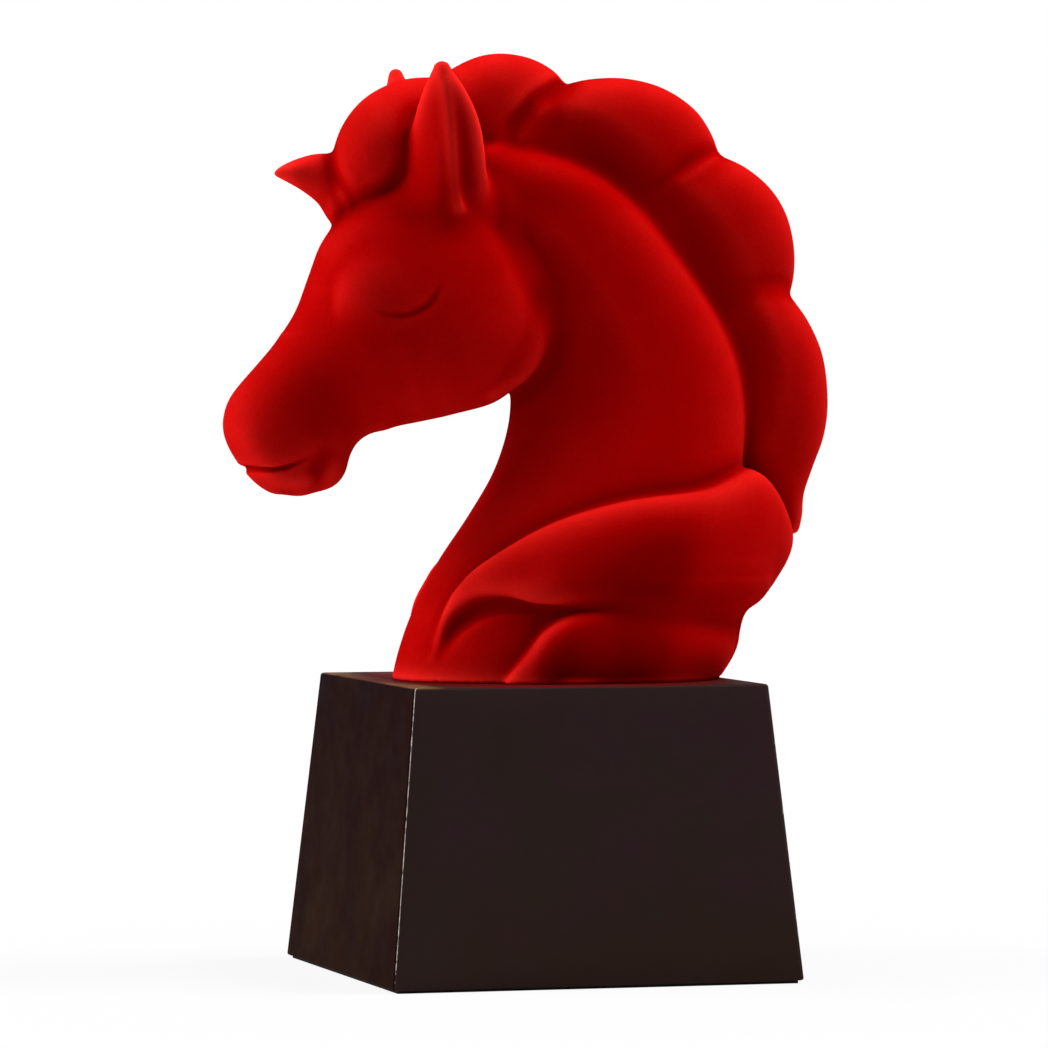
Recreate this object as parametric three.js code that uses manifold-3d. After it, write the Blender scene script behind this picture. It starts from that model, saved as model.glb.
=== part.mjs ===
// Horse head bust on a tapered plinth: a flocked cast-resin bust screwed to a black painted box of mitred boards.
// Millimetres, +Z up. The horse faces -Y, its left side is +X, and the origin is the middle of the underside.
import * as THREE from 'three';
import { ConvexGeometry } from 'three/addons/geometries/ConvexGeometry.js';
import { LoftGeometry } from 'three/addons/geometries/LoftGeometry.js';
import { mergeVertices } from 'three/addons/utils/BufferGeometryUtils.js';
import Module from 'manifold-3d';

const wasm = await Module();
wasm.setup();

// Driving dimensions of the plinth.
const PLINTH_HEIGHT = 100;
const PLINTH_BOTTOM_WIDTH = 143;
const PLINTH_TOP_WIDTH = 123.5;
const BOARD_THICKNESS = 9;
const EDGE_CHAMFER = 0.8;
const CORNER_CHAMFER = 1.6;
const JOINT_GAP = 0.15;
const FELT_THICKNESS = 1;
const FELT_INSET = 2;
const CORNER_BLOCK = 20;

// Driving dimensions of the fixings.
const FIT = 0.3;
const BOARD_SCREW = { shank: 2, head: 4, headHeight: 2.4, length: 26 };
const FIXING_SCREW = { shank: 3, head: 6, headHeight: 4, length: 22, key: 2.5, keyDepth: 2.4 };
const WASHER = { outer: 9, thickness: 1.6 };
const INSERT = { outer: 4.5, length: 14 };
const FIXING_Y = [-36, 38];

// Driving dimensions of how the bust's pieces are cast and bonded.
const SEAT_GAP = 0.3;
const LEAF_INWARD = 0.5;
const CORE = { halfWidth: 13, halfLength: 15, centreY: 2, height: 78, topShare: 0.75 };
const PEG = { radius: 2.5, intoCasting: 6, intoPiece: 4, sides: 10 };
const EYE_LINE = { radius: 0.9, depth: 1.6 };
const MOUTH_LINE = { radius: 1.1, depth: 1.8 };

const ROUND_SIDES = 16;
const LOCK_SIDES = 16;
const CUT = 500;

const paint = new THREE.MeshStandardMaterial({ color: 0x231a18, roughness: 0.5, metalness: 0 });
const softwood = new THREE.MeshStandardMaterial({ color: 0xd2b07c, roughness: 0.75, metalness: 0 });
const rawBoard = new THREE.MeshStandardMaterial({ color: 0xb08a5e, roughness: 0.8, metalness: 0 });
const felt = new THREE.MeshStandardMaterial({ color: 0x1c1c1e, roughness: 1, metalness: 0 });
const flock = new THREE.MeshStandardMaterial({ color: 0xb5070a, roughness: 0.95, metalness: 0 });
const steel = new THREE.MeshStandardMaterial({ color: 0xb9bcc0, roughness: 0.35, metalness: 1 });
const brass = new THREE.MeshStandardMaterial({ color: 0xc9a04a, roughness: 0.35, metalness: 1 });

const DOME_ANGLES = [0.6, 1.1, 1.5];
const statue = new THREE.Group();

// Solids: shapes become closed bodies that can be joined and cut, and the finished bodies become meshes.
function solid(geometry, weld = 1e-4) {
  const bare = geometry.index ? geometry.toNonIndexed() : geometry.clone();
  bare.deleteAttribute('normal');
  bare.deleteAttribute('uv');
  const merged = mergeVertices(bare, weld);
  return new wasm.Manifold(new wasm.Mesh({
    numProp: 3,
    vertProperties: merged.attributes.position.array,
    triVerts: new Uint32Array(merged.index.array),
  }));
}

function largest(body) {
  return body.decompose().reduce((best, one) => (one.volume() > best.volume() ? one : best));
}

function geometryOf(body) {
  const mesh = largest(body).getMesh();
  const geometry = new THREE.BufferGeometry();
  geometry.setAttribute('position', new THREE.BufferAttribute(mesh.vertProperties, 3));
  geometry.setIndex(new THREE.BufferAttribute(mesh.triVerts, 1));
  return geometry;
}

// A cut can leave a crumb or a folded sliver: only the largest body is kept, before and after welding.
function place(name, body, material) {
  const geometry = geometryOf(solid(geometryOf(body), 1e-3));
  geometry.computeVertexNormals();
  const placed = new THREE.Mesh(geometry, material);
  placed.name = name;
  statue.add(placed);
}

function below(level) {
  return solid(new THREE.BoxGeometry(CUT, CUT, CUT).translate(0, 0, level - CUT / 2));
}

function beyondMiddle(side) {
  return solid(new THREE.BoxGeometry(CUT, CUT, CUT).translate(side * (SEAT_GAP - CUT) / 2, 0, 0));
}

function rod(from, to, radius, sides = ROUND_SIDES) {
  const axis = to.clone().sub(from);
  const turn = new THREE.Quaternion().setFromUnitVectors(new THREE.Vector3(0, 1, 0), axis.clone().normalize());
  const geometry = new THREE.CylinderGeometry(radius, radius, axis.length(), sides).applyQuaternion(turn);
  const middle = from.clone().addScaledVector(axis, 0.5);
  return solid(geometry.translate(middle.x, middle.y, middle.z));
}

function upright(x, y, bottom, top, radius, sides = ROUND_SIDES) {
  return rod(new THREE.Vector3(x, y, bottom), new THREE.Vector3(x, y, top), radius, sides);
}

// A piece turned about an upright axis, from pairs of radius and height.
function turned(profile, x, y) {
  const geometry = new THREE.LatheGeometry(profile.map(([r, h]) => new THREE.Vector2(r, h)), ROUND_SIDES);
  return solid(geometry.rotateX(Math.PI / 2).translate(x, y, 0));
}

// A convex block through level outlines, each a height and a list of [x, y].
function block(outlines) {
  return solid(new ConvexGeometry(outlines.flatMap(([z, outline]) => outline.map(([x, y]) => new THREE.Vector3(x, y, z)))));
}

function squareOutline(half) {
  return [[-half, -half], [half, -half], [half, half], [-half, half]];
}

// Plinth: every width follows the taper, so the height and the two widths set the whole box.
const panelBottom = FELT_THICKNESS;
const panelTop = PLINTH_HEIGHT;
const innerTop = PLINTH_HEIGHT - BOARD_THICKNESS;
const innerBottom = panelBottom + BOARD_THICKNESS;
const outerHalf = (z) => THREE.MathUtils.lerp(PLINTH_BOTTOM_WIDTH, PLINTH_TOP_WIDTH, z / PLINTH_HEIGHT) / 2;
const innerHalf = (z) => outerHalf(z) - BOARD_THICKNESS;

// Side panels: four painted boards with mitred ends, glued round the corner blocks.
function sidePanelOutline(z, inset) {
  const face = outerHalf(z) - inset;
  const back = innerHalf(z);
  const mitre = face - CORNER_CHAMFER / 2;
  return [
    [CORNER_CHAMFER - face, -face],
    [face - CORNER_CHAMFER, -face],
    [mitre - JOINT_GAP / 2, -mitre],
    [back - JOINT_GAP / 2, -back],
    [JOINT_GAP / 2 - back, -back],
    [JOINT_GAP / 2 - mitre, -mitre],
  ];
}
const sidePanel = () => solid(new ConvexGeometry([
  [panelBottom, EDGE_CHAMFER],
  [panelBottom + EDGE_CHAMFER, 0],
  [panelTop - EDGE_CHAMFER, 0],
  [panelTop, EDGE_CHAMFER],
].flatMap(([z, inset]) => sidePanelOutline(z, inset).map(([x, y]) => new THREE.Vector3(x, y, z)))));
['front', 'left', 'back', 'right'].forEach((side, i) => {
  place(`side_panel_${side}`, sidePanel().rotate([0, 0, 90 * i]), paint);
});

// Top panel: let in flush between the side panels and resting on the corner blocks.
let topPanel = block([innerTop, panelTop].map((z) => [z, squareOutline(innerHalf(z) - JOINT_GAP)]));
FIXING_Y.forEach((y) => {
  topPanel = topPanel.subtract(upright(0, y, innerTop - 1, panelTop + 1, FIXING_SCREW.shank + FIT));
});
place('top_panel', topPanel, paint);

// Bottom board: let in between the side panels, with countersunk holes for its four screws.
const blockCentre = innerHalf(innerBottom) - JOINT_GAP - CORNER_BLOCK / 2;
const blockCorners = [[1, 1], [-1, 1], [-1, -1], [1, -1]];
const boardScrewProfile = (grow, length) => [
  [0, panelBottom],
  [BOARD_SCREW.head + grow, panelBottom],
  [BOARD_SCREW.shank + grow, panelBottom + BOARD_SCREW.headHeight],
  [BOARD_SCREW.shank + grow, panelBottom + length],
  [0, panelBottom + length],
];
const screwDip = 0.2;
let bottomBoard = block([panelBottom, innerBottom].map((z) => [z, squareOutline(innerHalf(z) - JOINT_GAP)]));
blockCorners.forEach(([sx, sy], i) => {
  const x = sx * blockCentre;
  const y = sy * blockCentre;
  const hole = turned(boardScrewProfile(FIT, BOARD_SCREW.length + 1).map(([r, h]) => [r, h + screwDip]), x, y);
  const mouth = upright(x, y, panelBottom - 1, panelBottom + screwDip + 0.01, BOARD_SCREW.head + FIT);
  bottomBoard = bottomBoard.subtract(hole).subtract(mouth);
  const low = innerHalf(innerBottom) - JOINT_GAP;
  const high = innerHalf(innerTop) - JOINT_GAP;
  const corner = (edge) => [[edge, edge], [edge - CORNER_BLOCK, edge], [edge - CORNER_BLOCK, edge - CORNER_BLOCK],
    [edge, edge - CORNER_BLOCK]].map(([u, v]) => [u * sx, v * sy]);
  place(`corner_block_${i + 1}`, block([[innerBottom, corner(low)], [innerTop, corner(high)]]).subtract(hole), softwood);
  const screw = turned(boardScrewProfile(0, BOARD_SCREW.length).map(([r, h]) => [r, h + screwDip]), x, y);
  const slot = upright(x, y, panelBottom, panelBottom + screwDip + 1, BOARD_SCREW.head / 3, 4);
  place(`board_screw_${i + 1}`, screw.subtract(slot), steel);
});
place('bottom_board', bottomBoard, rawBoard);

// Felt pad: glued under the bottom board and the panels' lower edges, a little in from the painted edge.
place('felt_pad', block([[0, squareOutline(outerHalf(0) - FELT_INSET)], [FELT_THICKNESS, squareOutline(outerHalf(0) - FELT_INSET)]]), felt);

// Fixings: two machine screws and washers under the top panel, in brass inserts cast into the bust.
const seat = innerTop - WASHER.thickness;
const bore = FIXING_SCREW.shank + FIT;
['front', 'rear'].forEach((end, i) => {
  const y = FIXING_Y[i];
  place(`fixing_washer_${end}`, turned([
    [bore, seat], [WASHER.outer, seat], [WASHER.outer, innerTop], [bore, innerTop], [bore, seat],
  ], 0, y), steel);
  const screw = turned([
    [0, seat - FIXING_SCREW.headHeight],
    [FIXING_SCREW.head * 0.8, seat - FIXING_SCREW.headHeight],
    [FIXING_SCREW.head, seat - FIXING_SCREW.headHeight * 0.6],
    [FIXING_SCREW.head, seat],
    [FIXING_SCREW.shank, seat],
    [FIXING_SCREW.shank, seat + FIXING_SCREW.length],
    [0, seat + FIXING_SCREW.length],
  ], 0, y);
  const key = upright(0, y, seat - FIXING_SCREW.headHeight - 1, seat - FIXING_SCREW.headHeight + FIXING_SCREW.keyDepth,
    FIXING_SCREW.key, 6);
  place(`fixing_screw_${end}`, screw.subtract(key), steel);
  place(`threaded_insert_${end}`, turned([
    [bore, PLINTH_HEIGHT], [INSERT.outer, PLINTH_HEIGHT], [INSERT.outer, PLINTH_HEIGHT + INSERT.length],
    [bore, PLINTH_HEIGHT + INSERT.length], [bore, PLINTH_HEIGHT],
  ], 0, y), brass);
});

// Lofts: a station has a centre, two half-axes, and how square its front and back halves are (2 is an ellipse).
function ring({ centre, wide, deep, front, back, inward = 1 }, sides, share = 1) {
  const points = [];
  for (let i = 0; i < sides; i++) {
    const angle = (i / sides) * 2 * Math.PI;
    const c = Math.cos(angle);
    const s = Math.sin(angle);
    const power = 2 / (s > 0 ? front : back);
    const sideways = Math.sign(c) * Math.abs(c) ** power * share * (c < 0 ? inward : 1);
    const lengthways = Math.sign(s) * Math.abs(s) ** power * share;
    points.push(centre.clone().addScaledVector(wide, sideways).addScaledVector(deep, lengthways));
  }
  return points;
}

// A closed body through stations, with a rounded dome of its own height on each end.
function lofted(stations, { sides, rings, startDome, endDome, grow = 0 }) {
  const through = (read) => new THREE.CatmullRomCurve3(stations.map(read), false, 'catmullrom', 0.5);
  const centres = through((s) => s.centre);
  const wides = through((s) => s.wide);
  const deeps = through((s) => s.deep);
  const shapes = through((s) => new THREE.Vector3(s.front, s.back, s.inward ?? 1));
  const at = (t) => {
    const wide = wides.getPoint(t);
    const deep = deeps.getPoint(t);
    const shape = shapes.getPoint(t);
    wide.setLength(wide.length() + grow);
    deep.setLength(deep.length() + grow);
    return { centre: centres.getPoint(t), wide, deep, front: shape.x, back: shape.y, inward: shape.z };
  };
  const dome = (t, travel, height) => {
    const end = at(t);
    const outward = new THREE.Vector3().crossVectors(end.wide, end.deep).normalize();
    if (outward.dot(travel) < 0) outward.negate();
    return DOME_ANGLES.map((angle) => {
      const centre = end.centre.clone().addScaledVector(outward, (height + grow) * Math.sin(angle));
      return ring({ ...end, centre }, sides, Math.cos(angle));
    });
  };
  const sections = dome(0, centres.getTangent(0).negate(), startDome).reverse();
  for (let i = 0; i <= rings; i++) sections.push(ring(at(i / rings), sides));
  sections.push(...dome(1, centres.getTangent(1), endDome));
  const middle = at(0.5);
  const facing = new THREE.Vector3().crossVectors(middle.wide, middle.deep).dot(centres.getTangent(0.5));
  if (facing < 0) sections.forEach((points) => points.reverse());
  return solid(new LoftGeometry(sections, { capStart: true, capEnd: true }));
}

const base = PLINTH_HEIGHT;

// A station across the middle plane, from its outer point to its inner point, each [y, z].
function across(outer, inner, halfWidth, front = 2.2, back = front, x = 0) {
  const a = new THREE.Vector3(x, ...outer);
  const b = new THREE.Vector3(x, ...inner);
  return {
    centre: a.clone().add(b).multiplyScalar(0.5),
    wide: new THREE.Vector3(halfWidth, 0, 0),
    deep: a.sub(b).multiplyScalar(0.5),
    front,
    back,
  };
}

// A station of a leaf on one side, from its upper to its lower edge (heights above the plinth), bulging outward.
function leaf(side, [tx, ty, tz], [bx, by, bz], bulge, out, inward = 1) {
  const upper = new THREE.Vector3(side * tx, ty, base + tz);
  const lower = new THREE.Vector3(side * bx, by, base + bz);
  const centre = upper.clone().add(lower).multiplyScalar(0.5);
  const deep = upper.sub(lower).multiplyScalar(0.5);
  const wide = new THREE.Vector3(side * out[0], out[1], 0).projectOnPlane(deep.clone().normalize()).setLength(bulge);
  return { centre, wide, deep, front: 2.2, back: 2.2, inward };
}

// Neck: rises from an oval on the plinth and arches forward to the poll.
const neckStations = [
  across([-49.5, base - 6], [55, base - 6], 43, 2.1, 2.4),
  across([-47.8, base + 8], [59, base + 8], 42.5, 2.1, 2.4),
  across([-43.7, base + 23], [63, base + 24], 40.5, 2.1, 2.5),
  across([-35.8, base + 39], [66, base + 43], 37.5, 2.1, 2.6),
  across([-24, base + 56], [68, base + 60], 34.5, 2.2, 3),
  across([-15, base + 72], [69, base + 76], 32, 2.3, 3.2),
  across([-10.5, base + 90], [70, base + 93], 29.5, 2.3, 3.4),
  across([-12, base + 107], [67, base + 110], 27.5, 2.3, 3.4),
  across([-19, base + 124], [58.5, base + 128], 26, 2.3, 3.4),
  across([-28, base + 140], [46.5, base + 146], 25, 2.3, 3.4),
  across([-37, base + 151], [30, base + 163.5], 24.5, 2.3, 3.4),
  across([-44, base + 159], [11.5, base + 176.5], 23.5, 2.3, 3),
  across([-48, base + 165], [-12, base + 183], 21.5, 2.3, 2.6),
];

// Head: from the poll over the brow and cheek, down the nose to the muzzle.
const headStations = [
  across([-29, base + 171], [-3, base + 128], 22, 2.4),
  across([-43, base + 174], [-4, base + 108], 28, 2.3, 2.6),
  across([-56, base + 168.5], [-16, base + 95], 31, 2.25, 2.6),
  across([-66.8, base + 160], [-32, base + 90], 31, 2.2, 2.5),
  across([-75.6, base + 149.5], [-43.5, base + 87.5], 29, 2.2, 2.4),
  across([-80.5, base + 137.6], [-53, base + 85.5], 25.5, 2.2, 2.3),
  across([-85.5, base + 125.4], [-60, base + 82], 21.5, 2.2),
  across([-92.6, base + 115], [-65, base + 78], 18.5, 2.2),
  across([-100, base + 106.8], [-69.5, base + 72], 17.5, 2.2),
  across([-106.2, base + 100], [-76, base + 66.5], 17.5, 2.2),
  across([-110, base + 95], [-84, base + 63.5], 17, 2.2),
  across([-111.3, base + 89.5], [-92, base + 63.5], 15.5, 2.2),
];
const neck = (grow) => lofted(neckStations, { sides: 26, rings: 20, startDome: 1, endDome: 7, grow });
const head = (grow) => lofted(headStations, { sides: 26, rings: 18, startDome: 5, endDome: 5, grow });
const bustForm = (grow = 0) => neck(grow).add(head(grow)).subtract(below(base));

// Forelock and its curl: a roll of mane over the forehead, and the tip that flicks up in front of it.
const forelockStations = [
  across([-28, base + 203], [-28, base + 176], 11),
  across([-38, base + 204.5], [-37, base + 172], 14),
  across([-50, base + 203.3], [-46, base + 168], 17),
  across([-61.5, base + 197.5], [-53, base + 165], 18.5),
  across([-69.3, base + 188.2], [-58, base + 161], 18),
  across([-73, base + 177.5], [-62, base + 158], 15),
  across([-72.3, base + 169], [-65, base + 157], 9.5),
];
const curlStations = [
  across([-60, base + 176], [-62, base + 152], 9, 2.2, 2.2, -5),
  across([-70, base + 178.2], [-71.5, base + 154.5], 8.5, 2.2, 2.2, -6),
  across([-77, base + 178.5], [-76, base + 161], 7.3, 2.2, 2.2, -7),
  across([-83, base + 177], [-81.5, base + 165.5], 5.6, 2.2, 2.2, -8),
  across([-88.5, base + 174.7], [-87, base + 168.5], 3.6, 2.2, 2.2, -8),
  across([-92, base + 172.4], [-91.3, base + 170.5], 1.5, 2.2, 2.2, -8),
];

// Mane: four locks down the crest, each lower one lying over the end of the one above.
const maneStations = [
  [
    across([-38, base + 202], [-38, base + 178], 11),
    across([-30, base + 208.2], [-28, base + 172], 17),
    across([-19, base + 212.6], [-16, base + 169], 19.5),
    across([-7, base + 212], [-6, base + 167], 20),
    across([3, base + 207.6], [2, base + 165], 18),
    across([9, base + 201], [8, base + 162], 14),
  ],
  [
    across([8, base + 202.5], [-15, base + 176], 16),
    across([17.5, base + 204.7], [-6, base + 170], 18.5),
    across([29.5, base + 205], [4, base + 163], 19),
    across([42.3, base + 202], [14, base + 155], 18),
    across([53.8, base + 195], [23, base + 146], 15.5),
    across([60.6, base + 186], [29, base + 139], 12),
    across([63.5, base + 178], [33, base + 134], 8.5),
  ],
  [
    across([63.5, base + 179], [18, base + 154], 16.5),
    across([72.3, base + 175], [25, base + 143], 18.5),
    across([81, base + 168], [33, base + 132], 19),
    across([86.8, base + 159], [40, base + 122], 18.5),
    across([89.8, base + 148], [45, base + 113], 16),
    across([90, base + 137], [49, base + 105], 12),
    across([87.5, base + 128], [52, base + 100], 8.5),
  ],
  [
    across([87.5, base + 132], [42, base + 132], 16.5),
    across([94.8, base + 122], [47, base + 118], 18.5),
    across([100, base + 110], [52, base + 106], 19),
    across([101.8, base + 95], [57, base + 92], 18.5),
    across([100.6, base + 83], [62, base + 79], 16.5),
    across([96.8, base + 72], [69, base + 67], 13),
    across([94, base + 63], [78, base + 58], 9),
    across([93.8, base + 55.5], [84.5, base + 52], 5.5),
    across([93, base + 50.8], [88.5, base + 49.3], 3.5),
  ],
];

// Ears: pointed leaves standing on the poll, hollowed along the outer face.
const earStations = (side) => [
  leaf(side, [17, -51, 155], [17, -27, 155], 9, [1, 0]),
  leaf(side, [19.5, -54, 166], [19.5, -25, 166], 9, [1, 0]),
  leaf(side, [22.5, -54, 178], [22.5, -26, 178], 7.6, [1, 0]),
  leaf(side, [25.2, -52.4, 189], [25.2, -28.8, 189], 6.2, [1, 0]),
  leaf(side, [27.6, -49.8, 199], [27.6, -34.2, 199], 4.6, [1, 0]),
  leaf(side, [29.3, -46.9, 206], [29.3, -39.7, 206], 2.6, [1, 0]),
];
const earHollowStations = (side) => [
  leaf(side, [30.5, -35.5, 160], [30.5, -30, 160], 4, [1, 0]),
  leaf(side, [31.5, -40, 171], [31.5, -28.5, 171], 6, [1, 0]),
  leaf(side, [33, -42, 184], [33, -29.5, 184], 6, [1, 0]),
  leaf(side, [33.5, -43.5, 195], [33.5, -34.5, 195], 4.6, [1, 0]),
  leaf(side, [32.5, -44, 203], [32.5, -40.5, 203], 2.2, [1, 0]),
];

// Shoulder locks: two broad leaves on each flank, from the middle of the back forward to a point.
const upperStations = (side) => [
  leaf(side, [-4, 83, 50], [-4, 62, 23], 12, [0, 1], LEAF_INWARD),
  leaf(side, [10, 80.5, 58], [12, 60.5, 23], 13, [0.35, 1], LEAF_INWARD),
  leaf(side, [20.5, 66.5, 72], [25, 55, 22], 13, [0.75, 0.7], LEAF_INWARD),
  leaf(side, [33.5, 47, 65], [36, 36, 23], 10.5, [1, 0.2], LEAF_INWARD),
  leaf(side, [34.5, 18, 60.8], [39.5, 14, 25], 9, [1, 0], LEAF_INWARD),
  leaf(side, [31, -7, 52.7], [37.5, -11, 22.5], 8.5, [1, -0.15], LEAF_INWARD),
  leaf(side, [22.5, -26.7, 39.5], [33, -22, 22], 6.5, [0.8, -0.5], LEAF_INWARD),
  leaf(side, [18.3, -33.8, 31.5], [29.5, -29.5, 20.5], 4.2, [0.75, -0.65], LEAF_INWARD),
  leaf(side, [17.3, -38.3, 24.4], [25.5, -35.2, 16.5], 3, [0.65, -0.75], LEAF_INWARD),
  leaf(side, [17, -41.2, 15.4], [22, -39.8, 11.5], 2.2, [0.6, -0.8], LEAF_INWARD),
  leaf(side, [18, -42.8, 8.3], [19.5, -42.6, 7], 1.2, [0.6, -0.8], LEAF_INWARD),
];
const lowerStations = (side) => [
  leaf(side, [-4, 64.5, 21], [-4, 33, -12], 12.5, [0, 1], LEAF_INWARD),
  leaf(side, [12, 62, 21], [12, 32, -12], 12.5, [0.35, 1], LEAF_INWARD),
  leaf(side, [25, 53.5, 21], [24, 28.5, -12], 12, [0.75, 0.7], LEAF_INWARD),
  leaf(side, [35.5, 36.5, 22], [33, 21.5, -12], 11.5, [1, 0.25], LEAF_INWARD),
  leaf(side, [39.5, 14, 24], [37, 8, -12], 9.5, [1, 0], LEAF_INWARD),
  leaf(side, [41, 0, 22.3], [38, -3, -12], 9, [1, -0.1], LEAF_INWARD),
  leaf(side, [39.8, -9, 17.5], [38, -11, -12], 8, [1, -0.25], LEAF_INWARD),
  leaf(side, [38.8, -16, 11], [37, -17, -12], 6.5, [1, -0.35], LEAF_INWARD),
  leaf(side, [38, -21.5, 4], [36, -21.5, -12], 4.5, [1, -0.45], LEAF_INWARD),
  leaf(side, [37.3, -24.5, -1.5], [36, -24.5, -10], 2, [1, -0.5], LEAF_INWARD),
];

// Bonding: each cast piece gives way to the pieces it is glued on to, and pegs into the main casting.
const bond = (point, normal) => {
  const outward = new THREE.Vector3(...normal).normalize();
  const foot = new THREE.Vector3(...point);
  return (grow = 0) => rod(
    foot.clone().addScaledVector(outward, PEG.intoPiece),
    foot.clone().addScaledVector(outward, -PEG.intoCasting - grow),
    PEG.radius + grow,
    PEG.sides,
  );
};
const lock = (stations, rings, startDome, endDome) => (grow = 0) => (
  lofted(stations, { sides: LOCK_SIDES, rings, startDome, endDome, grow })
);
const flank = (stations, side, rings) => (grow = 0) => (
  lofted(stations(side), { sides: LOCK_SIDES, rings, startDome: 1, endDome: 2, grow })
    .subtract(beyondMiddle(side))
    .subtract(below(base))
);
const cast = {};
const flanks = { left: 1, right: -1 };
Object.entries(flanks).forEach(([name, side]) => {
  const ear = lock(earStations(side), 8, 1, 3);
  const hollow = lock(earHollowStations(side), 6, 1, 1)();
  cast[`ear_${name}`] = {
    shape: (grow = 0) => (grow ? ear(grow) : ear().subtract(hollow)),
    under: [],
    peg: bond([side * 19, -39, base + 165], [side * 0.2, 0, 1]),
  };
});
const mane = [
  lock(maneStations[0], 8, 3, 3),
  lock(maneStations[1], 9, 3, 3),
  lock(maneStations[2], 9, 3, 3),
  lock(maneStations[3], 13, 3, 1.5),
];
const manePegs = [
  bond([0, -14, base + 184], [0, 0, 1]),
  bond([0, 18, base + 170], [0, 0.45, 0.9]),
  bond([0, 46, base + 143], [0, 0.75, 0.66]),
  bond([0, 66, base + 105], [0, 1, 0.1]),
];
cast.forelock = {
  shape: lock(forelockStations, 9, 2, 3),
  under: ['ear_left', 'ear_right', 'forelock_curl'],
  peg: bond([0, -48, base + 173], [0, -0.3, 1]),
};
cast.forelock_curl = {
  shape: lock(curlStations, 8, 1, 1),
  under: [],
  peg: bond([-5, -66, base + 160], [0, -0.65, 0.75]),
};
mane.forEach((shape, i) => {
  const lower = i < 3 ? [`mane_lock_${i + 2}`] : [];
  const ends = i === 0 ? ['forelock', 'ear_left', 'ear_right'] : [];
  cast[`mane_lock_${i + 1}`] = { shape, under: [...lower, ...ends], peg: manePegs[i] };
});
Object.entries(flanks).forEach(([name, side]) => {
  cast[`shoulder_lock_upper_${name}`] = {
    shape: flank(upperStations, side, 16),
    under: ['mane_lock_4'],
    peg: bond([side * 36, 16, base + 42], [side, 0, 0]),
  };
  cast[`shoulder_lock_lower_${name}`] = {
    shape: flank(lowerStations, side, 12),
    under: [],
    peg: bond([side * 41, 8, base + 10], [side, 0, 0]),
  };
});

// Main casting: neck and head in one, with eye and mouth lines, a core, the insert bores and the peg sockets.
const line = (points, aroundY, { radius, depth }) => lofted(points.map(([x, y, z]) => ({
  centre: new THREE.Vector3(x, y, z),
  wide: new THREE.Vector3(x, aroundY === undefined ? 0 : y - aroundY, 0).setLength(depth),
  deep: new THREE.Vector3(0, 0, radius),
  front: 2,
  back: 2,
})), { sides: 8, rings: 8, startDome: radius, endDome: radius });
const eyeLine = [[29, -62, 125], [30, -57, 123.8], [30.6, -52, 125], [31, -47.5, 128], [31, -44, 132]];
const mouthHalf = [[4, -103.5, 72], [11, -101, 71.5], [14.6, -95, 71.2], [15.5, -89, 73], [15.4, -83, 75.5]];
const mouthLine = [...mouthHalf.map(([x, y, z]) => [-x, y, z]).reverse(), ...mouthHalf];
const raised = (points) => points.map(([x, y, z]) => [x, y, base + z]);
let casting = bustForm();
const core = block([
  [base - 1, squareOutline(1).map(([u, v]) => [u * CORE.halfWidth, CORE.centreY + v * CORE.halfLength])],
  [base + CORE.height, squareOutline(CORE.topShare).map(([u, v]) => [u * CORE.halfWidth, CORE.centreY + v * CORE.halfLength])],
]);
casting = casting.subtract(core).subtract(line(raised(mouthLine), -88, MOUTH_LINE));
Object.values(flanks).forEach((side) => {
  casting = casting.subtract(line(raised(eyeLine.map(([x, y, z]) => [side * x, y, z])), undefined, EYE_LINE));
});
FIXING_Y.forEach((y) => {
  casting = casting.subtract(upright(0, y, base - 1, base + INSERT.length + FIT, INSERT.outer + FIT));
  casting = casting.subtract(upright(0, y, base - 1, seat + FIXING_SCREW.length + FIT, bore));
});
Object.values(cast).forEach(({ peg }) => {
  casting = casting.subtract(peg(FIT));
});
place('bust_casting', casting, flock);

const grownForm = bustForm(SEAT_GAP);
const whole = Object.fromEntries(Object.entries(cast).map(([name, { shape, peg }]) => [
  name, (grow) => largest(shape(grow).subtract(grownForm)).add(peg(grow)),
]));
Object.entries(cast).forEach(([name, { under }]) => {
  const piece = under.reduce((body, other) => body.subtract(whole[other](SEAT_GAP)), whole[name](0));
  place(name, piece, flock);
});

export default statue;
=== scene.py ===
import math
from itertools import product

import bpy
import numpy as np
import openvdb
from mathutils import Matrix, Vector


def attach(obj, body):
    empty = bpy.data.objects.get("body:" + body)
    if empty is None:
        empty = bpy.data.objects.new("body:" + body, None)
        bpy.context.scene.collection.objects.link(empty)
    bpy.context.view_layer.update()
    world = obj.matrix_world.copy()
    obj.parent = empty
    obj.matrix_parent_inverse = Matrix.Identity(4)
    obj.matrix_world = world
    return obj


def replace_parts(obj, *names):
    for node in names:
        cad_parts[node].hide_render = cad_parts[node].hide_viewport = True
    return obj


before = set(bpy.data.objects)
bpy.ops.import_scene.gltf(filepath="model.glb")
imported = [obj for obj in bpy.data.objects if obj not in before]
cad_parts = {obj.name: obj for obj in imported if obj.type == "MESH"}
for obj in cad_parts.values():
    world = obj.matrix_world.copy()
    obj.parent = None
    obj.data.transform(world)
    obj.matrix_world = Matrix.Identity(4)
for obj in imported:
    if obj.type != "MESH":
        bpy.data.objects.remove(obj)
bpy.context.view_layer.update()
scene = bpy.context.scene
scene.view_settings.view_transform = "Standard"
MM = 0.001


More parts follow.
